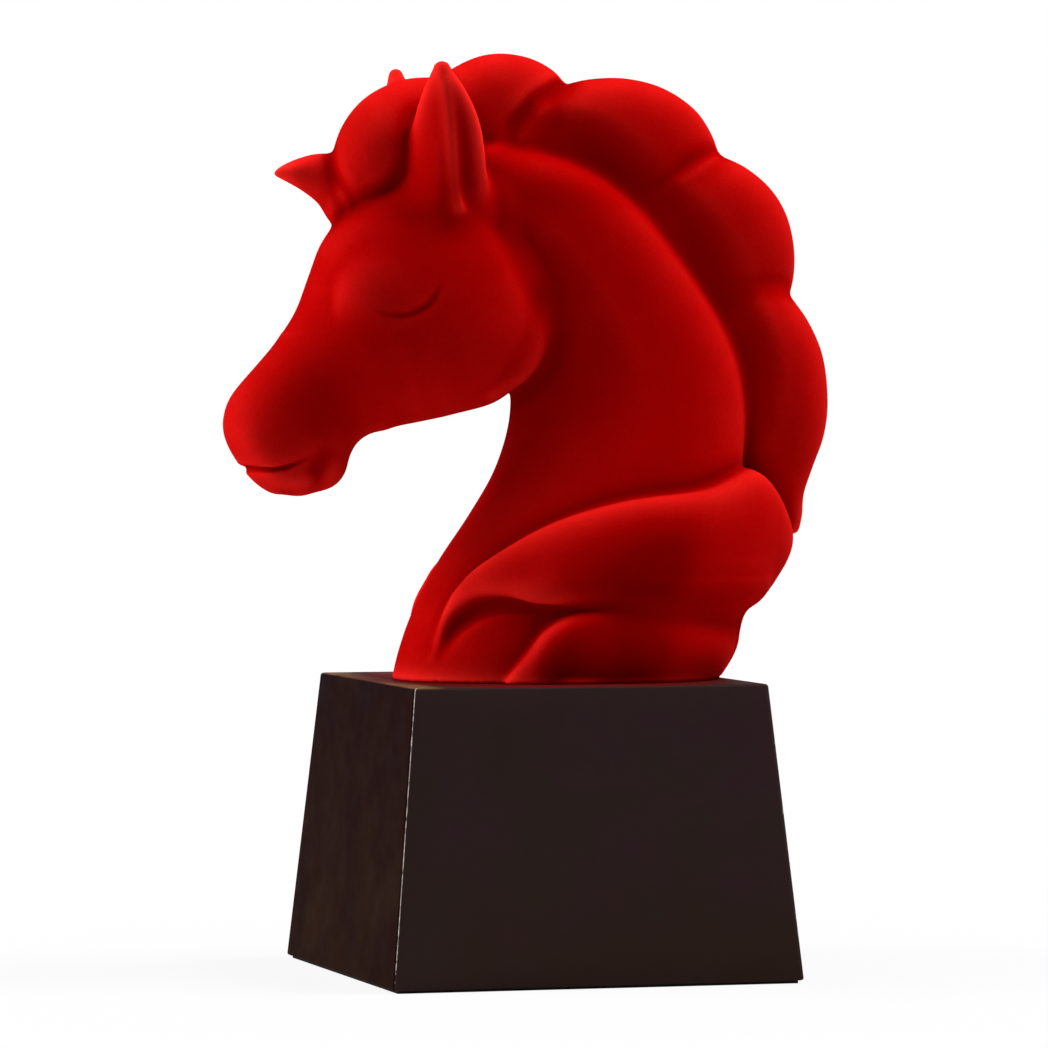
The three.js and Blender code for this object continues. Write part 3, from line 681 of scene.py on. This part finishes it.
def groove(points, radii, region, count=24):
    """How far each step is from a line through the points that swells and tapers."""
    line = along([(*p, r) for p, r in zip(points, radii)], count)
    x, y, z = places(region)
    best = None
    for a, b in zip(line[:-1], line[1:]):
        go = b[:3] - a[:3]
        share = ((x - a[0]) * go[0] + (y - a[1]) * go[1] + (z - a[2]) * go[2]) / (go @ go)
        share = np.clip(share, 0, 1)
        off = distance(x - a[0] - share * go[0], y - a[1] - share * go[1], z - a[2] - share * go[2])
        off = off - (a[3] + share * (b[3] - a[3]))
        best = off if best is None else np.minimum(best, off)
    return best


def ball(centre, radii, region):
    """About how far each step is from an egg shape round a centre."""
    x, y, z = places(region)
    inside = distance((x - centre[0]) / radii[0], (y - centre[1]) / radii[1], (z - centre[2]) / radii[2])
    return (inside - 1) * min(radii)


def on_flank(form, line, out):
    """Points on a form's left flank at each y and z, set out from it, and the same on its right flank."""
    left = []
    for y, z in line:
        column = form[:, int(round(y / STEP)) - BLOCK_LOW[1], int(round(z / STEP)) - BLOCK_LOW[2]]
        last = np.nonzero(column < 0)[0][-1]
        part = column[last] / (column[last] - column[last + 1])
        left.append(((last + BLOCK_LOW[0] + part) * STEP + out, y, z))
    return left, [(-x, y, z) for x, y, z in left]


def moved_out(point, by):
    """A point of a flank moved sideways, away from the middle plane."""
    return (point[0] + by * math.copysign(1, point[0]), *point[1:])


def carved(form, points, radii, blend):
    """Cuts a soft channel along the points."""
    region = around(points, max(radii) + blend)
    form[region] = cut(form[region], groove(points, radii, region), blend)


def pressed(form, centre, radii, blend):
    region = around([centre], max(radii) + blend)
    form[region] = cut(form[region], ball(centre, radii, region), blend)


def raised(form, centre, radii, blend):
    region = around([centre], max(radii) + blend)
    form[region] = joined(form[region], ball(centre, radii, region), blend)


jowl_rim = [(-18, 250), (-11, 240), (-7, 229.5), (-7, 218.5), (-12, 207.5), (-22, 199.5)]
jowl_radii = [2, 4.8, 5.8, 5.8, 4.6, 1.2]
for points in on_flank(casting, jowl_rim, out=-4.3):
    region = around(points, margin=14)
    casting[region] = joined(casting[region], groove(points, jowl_radii, region), blend=6)
lid_place, hollow_place, lip_place = (-57, 231), (-79.5, 169.5), (-91, 168.5)
for lid, hollow_behind_lip, lower_lip in on_flank(casting, [lid_place, hollow_place, lip_place], out=0):
    raised(casting, moved_out(lid, by=-8.7), radii=(7, 15, 11), blend=6)
    pressed(casting, moved_out(hollow_behind_lip, by=6.6), radii=(4.5, 4.5, 6), blend=5)
    raised(casting, moved_out(lower_lip, by=-3.2), radii=(4, 6, 3), blend=3)
chin, notch_behind_chin = (0, -77.2, 172), (0, -59.5, 175.5)
raised(casting, chin, radii=(11, 7, 7), blend=4)
pressed(casting, notch_behind_chin, radii=(30, 9, 8.2), blend=3)


# Ears: two pointed leaves cast on their own and set on the poll, each wedge-shaped in section and hollowed
# along its outer face beside a raised fold.
def leaf(side, top, bottom, bulge, out, inward, power):
    """A station of a leaf on one side, from its upper to its lower edge, bulging outward."""
    upper = np.array([side * top[0], top[1], top[2] + PLINTH_HEIGHT])
    lower = np.array([side * bottom[0], bottom[1], bottom[2] + PLINTH_HEIGHT])
    deep = (upper - lower) / 2
    lengthways = deep / np.linalg.norm(deep)
    wide = np.array([side * out[0], out[1], 0.0])
    wide -= lengthways * (wide @ lengthways)
    wide *= bulge / np.linalg.norm(wide)
    return {"centre": (upper + lower) / 2, "wide": wide, "deep": deep,
            "front": power, "back": power, "inward": inward}


ear_out = (1, -0.3)
ear_stations = [
    ((6.5, -47.1, 147), (18.5, -30.9, 147), 8),
    ((9.3, -49.6, 157), (22.3, -28.4, 157), 9),
    ((12.3, -51.9, 167), (26.3, -27.1, 167), 9),
    ((15.5, -51.9, 178), (29.5, -28.1, 178), 7.6),
    ((19.2, -50.6, 189), (31.2, -30.6, 189), 6.2),
    ((23.4, -48.6, 199), (31.8, -35.4, 199), 4.6),
    ((27.3, -46.3, 206), (31.3, -40.3, 206), 2.6),
]
pieces = {}
ear_leaves = [leaf(1, *station, ear_out, inward=1, power=1.5) for station in ear_stations]
ear_region, ear = clay(ear_leaves, start_dome=1, end_dome=3)
ear = whole((ear_region, ear))
fold_line = [(-42.3, 301), (-41, 293), (-39.8, 284), (-38.4, 274), (-37.2, 266)]
fold_radii = [0.5, 1, 1.4, 1.6, 1.6, 1]
ear_fold, _ = on_flank(ear, fold_line, out=-0.8)
ear_fold.append((ear_fold[-1][0] + 0.4, -36.6, 260))
slot_line = [(-41.2, 302), (-39, 293), (-37, 284), (-35.4, 274), (-34, 265), (-33, 258)]
slot_radii = [0.5, 1.8, 2.7, 3.3, 3.0, 1.6]
ear_slot, _ = on_flank(ear, slot_line, out=2.8)
region = around(ear_fold, margin=8)
ear[region] = joined(ear[region], groove(ear_fold, fold_radii, region), blend=4)
carved(ear, ear_slot, slot_radii, blend=2.4)
_, _, height = places(ear_region)
root_height, free_height = 255, 285
root_blend, free_blend = 8.5, 2.5
ear_blend = root_blend - (root_blend - free_blend) * soft_step(height, root_height, free_height)
mirrored = slice(BLOCK_SHAPE[0] - ear_region[0].stop, BLOCK_SHAPE[0] - ear_region[0].start)
pieces["ear_left"] = (ear_region, ear[ear_region], ear_blend)
pieces["ear_right"] = ((mirrored, *ear_region[1:]), ear[ear_region][::-1], ear_blend)


# Forelock: a cast roll of mane over the forehead, and the tip of a second one that flicks up in front of it.
# Both are glued to the poll between the ears.
forelock_blend = 2.0
pieces["forelock"] = (*clay([
    across((-28, 203), (-28, 176), 11),
    across((-38, 204.5), (-37, 172), 14),
    across((-50, 203.3), (-46, 168), 16.5),
    across((-61.5, 197.5), (-53, 165), 17.5),
    across((-69.3, 188.2), (-58, 161), 14.5),
    across((-73, 177.5), (-62, 158), 9.5),
    across((-72.3, 169), (-65, 157), 5.5),
], start_dome=2, end_dome=3), forelock_blend)
pieces["forelock_curl"] = (*clay([
    across((-60, 176), (-62, 152), 9, x=-5),
    across((-70, 178.2), (-71.5, 154.5), 8.5, x=-6),
    across((-77, 178.5), (-76, 161), 7.3, x=-7),
    across((-83, 177), (-81.5, 165.5), 5.6, x=-8),
    across((-88.5, 174.7), (-87, 168.5), 3.6, x=-8),
    across((-92, 172.4), (-91.3, 170.5), 1.5, x=-8),
], start_dome=1, end_dome=1), forelock_blend)


# Mane: four heavy locks glued down the crest of the neck, each lower one lying over the end of the one above.
# The last one runs out into a short tail.
mane = [
    ([
        ((-38, 202), (-38, 178), 10),
        ((-30, 208.2), (-28, 172), 16),
        ((-19, 212.6), (-16, 169), 18.5),
        ((-7, 212), (-6, 167), 17.5),
        ((3, 207.6), (2, 165), 14),
        ((9, 201), (8, 162), 10),
    ], 3, 3),
    ([
        ((8, 202.5), (-15, 176), 16),
        ((17.5, 204.7), (-6, 170), 18.5),
        ((29.5, 205), (4, 163), 19),
        ((42.3, 202), (14, 155), 18),
        ((53.8, 195), (23, 146), 15.5),
        ((60.6, 186), (29, 139), 12),
        ((63.5, 178), (33, 134), 8.5),
    ], 5, 3),
    ([
        ((63.5, 179), (18, 154), 16.5),
        ((72.3, 175), (25, 143), 18.5),
        ((81, 168), (33, 132), 19),
        ((86.8, 159), (40, 122), 18.5),
        ((89.8, 148), (45, 113), 16),
        ((90, 137), (49, 105), 12),
        ((87.5, 128), (52, 100), 8.5),
    ], 7.5, 3),
    ([
        ((87.5, 132), (42, 132), 16.5),
        ((94.8, 122), (47, 118), 18.5),
        ((100, 110), (52, 106), 19),
        ((101.8, 95), (57, 92), 18.5),
        ((100.6, 83), (62, 79), 16.5),
        ((96.8, 72), (69, 67), 13),
        ((94, 63), (78, 58), 9),
        ((93.8, 55.5), (84.5, 52), 5.5),
        ((93, 50.8), (88.5, 49.3), 3.5),
    ], 9.5, 1.5),
]
lock_fullness = 2.7
behind_crest = [
    (-14, 287), (3, 284), (17.5, 276), (36, 261.5), (50.5, 245.5), (62, 226), (69.5, 205), (71.5, 186)]
valley_radii = [4, 6.5, 7.5, 7.5, 7.5, 7.5, 6.5, 4]
valley_x = 25
lock_blend = 1.5
for i, (stations, start_dome, end_dome) in enumerate(mane):
    region, steps = clay([across(*station, lock_fullness) for station in stations], start_dome, end_dome)
    for side in (1, -1):
        line = [(side * valley_x, y, z) for y, z in behind_crest]
        steps = cut(steps, groove(line, valley_radii, region, count=32), blend=9)
    pieces[f"mane_lock_{i + 1}"] = (region, steps, lock_blend)


# Shoulder locks: two leaves on each flank. The long upper ones meet at the middle of the back and run forward
# to a point on the chest, hollowed below the tip, and the rounded lower ones stand on the plinth.
upper_stations = [
    ((-4, 83, 50), (-4, 61.5, 25.5), 12, (0, 1)),
    ((10, 80.5, 58), (12, 60.2, 25.5), 13, (0.35, 1)),
    ((20.5, 66.5, 72), (25, 55, 22), 13, (0.75, 0.7)),
    ((33.5, 47, 65), (36, 36, 23), 10.5, (1, 0.2)),
    ((34.5, 18, 60.8), (39.5, 14, 25), 9, (1, 0)),
    ((31, -7, 52.7), (37.5, -11, 22.5), 8.5, (1, -0.15)),
    ((22.5, -26.7, 39.5), (33, -22, 22), 6.8, (1, -0.2)),
    ((18.3, -33.8, 31.5), (29.5, -29.5, 20.5), 5, (1, -0.25)),
    ((17.3, -38.3, 24.4), (25.5, -35.2, 16.5), 4, (1, -0.3)),
    ((17, -41.2, 15.4), (22, -39.8, 11.5), 2.8, (1, -0.35)),
    ((18, -42.8, 8.3), (19.5, -42.6, 7), 1.4, (1, -0.4)),
]
lower_stations = [
    ((-4, 64.5, 21), (-4, 28.5, -12), 12, (0, 1)),
    ((12, 62, 21), (12, 27.5, -12), 12, (0.35, 1)),
    ((25, 53.5, 21), (24, 28.5, -12), 12, (0.75, 0.7)),
    ((35.5, 36.5, 22), (31.8, 14, -29), 11.5, (1, 0.25)),
    ((39.5, 13.5, 25.5), (35.8, 5, -30), 9.5, (1, 0)),
    ((41, -1, 24), (36.5, -4.5, -29), 9, (1, -0.1)),
    ((39.8, -10, 18.7), (37, -12, -27), 8, (1, -0.25)),
    ((38.8, -16, 11), (36, -17.5, -23.5), 6.5, (1, -0.35)),
    ((38, -21.5, 4), (35, -21.5, -20), 4.5, (1, -0.45)),
    ((37.3, -24.5, -1.5), (36, -24.5, -10), 2, (1, -0.5)),
]
leaf_inward, leaf_fullness = 0.5, 2.8
under_tip = [
    (-43.4, 107.8), (-41, 112.8), (-38.3, 117.4), (-33.8, 122.1), (-28, 125.2), (-18.5, 126.1), (-8.4, 125.1),
    (1, 123.5)]
hollow_radii = [0.3, 1.8, 2.8, 3.3, 3.2, 2.4, 1.4, 0.3]
hollows = on_flank(casting, under_tip, out=1.4)
bare_lobe_y, faded_lobe_y = 0, 28
for name, side, hollow in (("left", 1, hollows[0]), ("right", -1, hollows[1])):
    (upper_region, upper), (lower_region, lower) = (
        clay([leaf(side, *station, leaf_inward, leaf_fullness) for station in stations], 1, 2)
        for stations in (upper_stations, lower_stations))
    region = around(hollow, margin=8)
    casting[region] = cut(casting[region], groove(hollow, hollow_radii, region), blend=1.5)
    upper = cut(upper, groove(hollow, hollow_radii, upper_region), blend=5)
    x, _, _ = places(upper_region)
    pieces["shoulder_lock_upper_" + name] = (upper_region, np.maximum(upper, -side * x), lock_blend)
    x, y, _ = places(lower_region)
    fading = 1 + 11 * soft_step(y, bare_lobe_y, faded_lobe_y)
    pieces["shoulder_lock_lower_" + name] = (lower_region, np.maximum(lower, -side * x), fading)


# Bonding and flocking: the cast pieces are glued on, the seams are filled soft, and the whole bust is coated
# with adhesive and red rayon flock, which rounds every edge and crease a little.
casting_own = casting - 0.02
skin = casting.copy()
nearest = casting_own.copy()
second = np.full(BLOCK_SHAPE, DEPTH, np.float32)
for region, steps, blend in pieces.values():
    skin[region] = joined(skin[region], steps, blend)
    first = nearest[region]
    second[region] = np.minimum(np.maximum(first, steps), second[region])
    nearest[region] = np.minimum(first, steps)


def smoothed(steps, reach):
    """Softening: each step becomes the mean of its neighbours, weighted by how near they are."""
    count = int(math.ceil(2.5 * reach / STEP))
    weights = np.exp(-0.5 * (np.arange(-count, count + 1) * STEP / reach) ** 2)
    weights /= weights.sum()
    for axis in range(3):
        edge = [(count, count) if a == axis else (0, 0) for a in range(3)]
        padded = np.pad(steps, edge, mode="edge")
        total = np.zeros_like(steps)
        for k, weight in enumerate(weights):
            part = [slice(None)] * 3
            part[axis] = slice(k, k + steps.shape[axis])
            total += np.float32(weight) * padded[tuple(part)]
        steps = total
    return steps


flock_softening, muzzle_softening = 0.8, 3.4
set_in = 0.06
skin = smoothed(skin, flock_softening) + set_in
muzzle = around([(0, -106, 184)], margin=34)
muzzle_start, muzzle_end = 84, 104
_, y, _ = places(muzzle)
rounding = soft_step(-y, muzzle_start, muzzle_end)
skin[muzzle] = skin[muzzle] + rounding * (smoothed(skin[muzzle], muzzle_softening) - skin[muzzle])
eye_line = [(-64.5, 224.6), (-60.5, 223.6), (-56, 223.6), (-51.1, 225.2), (-47.6, 227.9), (-44.8, 232.5)]
for points in on_flank(skin, eye_line, out=0.1):
    carved(skin, points, [0.15, 0.6, 0.9, 1.05, 1.0, 0.3], blend=0.8)
crease_between_locks = [(4, 303), (-1, 300), (-6.5, 296.5), (-11, 292), (-14.6, 287.7), (-16.4, 283.6)]
for points in on_flank(skin, crease_between_locks, out=0.75):
    carved(skin, points, [0.8, 1.6, 1.9, 1.9, 1.5, 0.5], blend=4)
mouth_half = [(4, -103.5, 171.8), (11, -101, 171.6), (14.6, -94, 172.6), (15.5, -90, 174), (15.6, -86, 175.6)]
mouth_line = [(-x, y, z) for x, y, z in reversed(mouth_half)] + mouth_half
carved(skin, mouth_line, [0.1, 0.4, 0.7, 1.0, 1.2, 1.2, 1.0, 0.7, 0.4, 0.1], blend=1.2)
_, _, height = places(EVERYWHERE)
skin = np.maximum(skin, PLINTH_HEIGHT - height)

specks, numbers, mask = effect("specks", {"Apart": 12.0, "Width": 0.5, "Kept": 0.2}, "Mask")
cell = node(specks, "ShaderNodeTexVoronoi", {
    "Vector": object_place(specks), "Scale": per_metre(specks, numbers["Apart"])})
reach = worked(specks, "DIVIDE", numbers["Width"], numbers["Apart"])
near = node(specks, "ShaderNodeMapRange", {
    "Value": cell.outputs["Distance"], "From Min": reach, "From Max": worked(specks, "MULTIPLY", reach, 0.5)})
chance = node(specks, "ShaderNodeSeparateXYZ", {0: cell.outputs["Color"]})
chosen = worked(specks, "LESS_THAN", chance.outputs["X"], numbers["Kept"])
link(specks, worked(specks, "MULTIPLY", near.outputs[0], chosen), mask)

# Flock colours: painted shade in creases and hollows, the plain red, and a painted highlight on rounded
# edges, chosen by each point's painted light value, with nap grain and brushed patches added on top.
flock_painted_shade = (0.28, 0, 0, 1)
flock_red = (0.45, 0.0004, 0.0006, 1)
flock_painted_highlight = (1.0, 0.018, 0.014, 1)
lint_pink = (0.8, 0.25, 0.24)
nap_share, brushed_share = 0.35, 0.07
deepest_painted_shade, brightest_painted_light = -0.29, 1.21
red_at = 0.36
flock, tree, surface = new_material("red_flock")
painted_light_and_shade = node(tree, "ShaderNodeAttribute", attribute_name="painted_light_and_shade").outputs["Fac"]
nap = placed(tree, fine_grain, Size=0.7)
brushed = placed(tree, patches, Size=11.0, Softness=0.3)
painted_light_and_shade = worked(tree, "MULTIPLY_ADD", nap, nap_share, painted_light_and_shade)
painted_light_and_shade = worked(tree, "MULTIPLY_ADD", brushed, brushed_share, painted_light_and_shade)
spread = node(tree, "ShaderNodeMapRange", {
    "Value": painted_light_and_shade, "From Min": deepest_painted_shade, "From Max": brightest_painted_light})
shades = node(tree, "ShaderNodeValToRGB", {"Fac": spread.outputs["Result"]})
shades.color_ramp.elements[0].color = flock_painted_shade
shades.color_ramp.elements[1].color = flock_painted_highlight
shades.color_ramp.elements.new(red_at).color = flock_red
lint = placed(tree, specks, Apart=17.0, Width=0.45, Kept=0.16)
tone = blended(tree, lint, shades.outputs["Color"], lint_pink)
finished(tree, surface, tone, between(tree, brushed, low=0.9, high=1.0), nap,
         strength=0.35, reach_mm=0.12)
surface["Specular IOR Level"].default_value = 0.0
surface["Sheen Weight"].default_value = 0.3
surface["Sheen Roughness"].default_value = 0.4
surface["Sheen Tint"].default_value = (1, 0.035, 0.03, 1)

# Painted light for the flock: lighter where the skin is rounded (painted highlight), darker in creases and
# broad hollows (painted shade).
BROAD = 4
ridge_reach, hollow_reach = 2.5, 8.0
edge_light_and_crease_shade = smoothed(skin, ridge_reach) - skin
coarse = skin[::BROAD, ::BROAD, ::BROAD].copy()
depth = smoothed(coarse, hollow_reach / BROAD) - coarse


def steps_round(points, shape, every=1):
    """The eight steps of a block round each point, each with how much it counts."""
    where = (points / STEP - BLOCK_LOW) / every
    base = np.clip(where.astype(int), 1, np.array(shape) - 3)
    share = (where - base).astype(np.float32)
    for ahead in product((0, 1), repeat=3):
        x, y, z = (share[:, a] if ahead[a] else 1 - share[:, a] for a in range(3))
        yield x * y * z, tuple(base[:, a] + ahead[a] for a in range(3))


def at_points(block, points, every=1):
    """The block's value at each point, blended from the eight steps round it."""
    total = np.zeros(len(points), np.float32)
    for weight, step in steps_round(points, block.shape, every):
        total += weight * block[step]
    return total


def surface_normals(points):
    """Which way the flocked skin faces at each point, read from the whole bust so that seams don't show."""
    total = np.zeros((len(points), 3), np.float32)
    for weight, (i, j, k) in steps_round(points, BLOCK_SHAPE):
        slope = np.stack([
            skin[i + 1, j, k] - skin[i - 1, j, k],
            skin[i, j + 1, k] - skin[i, j - 1, k],
            skin[i, j, k + 1] - skin[i, j, k - 1]], 1)
        total += weight[:, None] * slope
    length = np.linalg.norm(total, axis=1, keepdims=True)
    return total / np.maximum(length, 1e-6)


def skin_at(points):
    """How far the step nearest to each point is from the skin."""
    where = points / STEP - BLOCK_LOW
    base = np.clip(np.round(where).astype(int), 0, np.array(BLOCK_SHAPE) - 1)
    return skin[base[:, 0], base[:, 1], base[:, 2]]


outside_block = 5.0
dive_slope, dive_end = 0.3, 0.6
shown_within = 0.7
hollow_shade_share = 0.16


def flocked(name, region, own, evenness=0.0):
    """One cast piece under its flock: its share of the skin, closed just past the seams. Evenness merges
    the flattest triangles."""
    first, other = nearest[region], second[region]
    rival = np.where(own <= first + 1e-6, other, first)
    beyond = (own - rival) / 2
    body = np.maximum(skin[region] + dive_slope * np.maximum(beyond, 0), beyond - dive_end)
    grid = openvdb.FloatGrid(outside_block)
    grid.copyFromArray(np.pad(body, 1, constant_values=outside_block))
    points, triangles, quads = grid.convertToPolygons(isovalue=0.0, adaptivity=evenness)
    corner = np.array([s.start for s in region]) + BLOCK_LOW - 1
    points = (points + corner) * STEP
    mesh = bpy.data.meshes.new(name)
    mesh.from_pydata(points * MM, [], quads.tolist() + triangles.tolist())
    mesh.update()
    shown = np.abs(skin_at(points)) < shown_within * STEP
    shown &= points[:, 2] > PLINTH_HEIGHT + STEP
    mesh.shade_smooth()
    mesh.normals_split_custom_set_from_vertices(np.where(shown[:, None], surface_normals(points), 0.0))
    # Each point's painted light: painted highlight on rounded edges, painted shade in creases and hollows.
    hollow_shade = np.minimum(at_points(depth, points, BROAD), 0)
    painted_light_and_shade = at_points(edge_light_and_crease_shade, points) + hollow_shade_share * hollow_shade
    mesh.attributes.new("painted_light_and_shade", "FLOAT", "POINT").data.foreach_set("value", painted_light_and_shade)
    mesh.materials.append(flock)
    piece = bpy.data.objects.new(name, mesh)
    scene.collection.objects.link(piece)
    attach(piece, "root")
    return piece


casting_piece = flocked("neck_and_head", EVERYWHERE, casting_own, evenness=0.001)
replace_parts(casting_piece, "bust_casting")
for name, (region, steps, _) in pieces.items():
    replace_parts(flocked("flocked_" + name, region, steps), name)
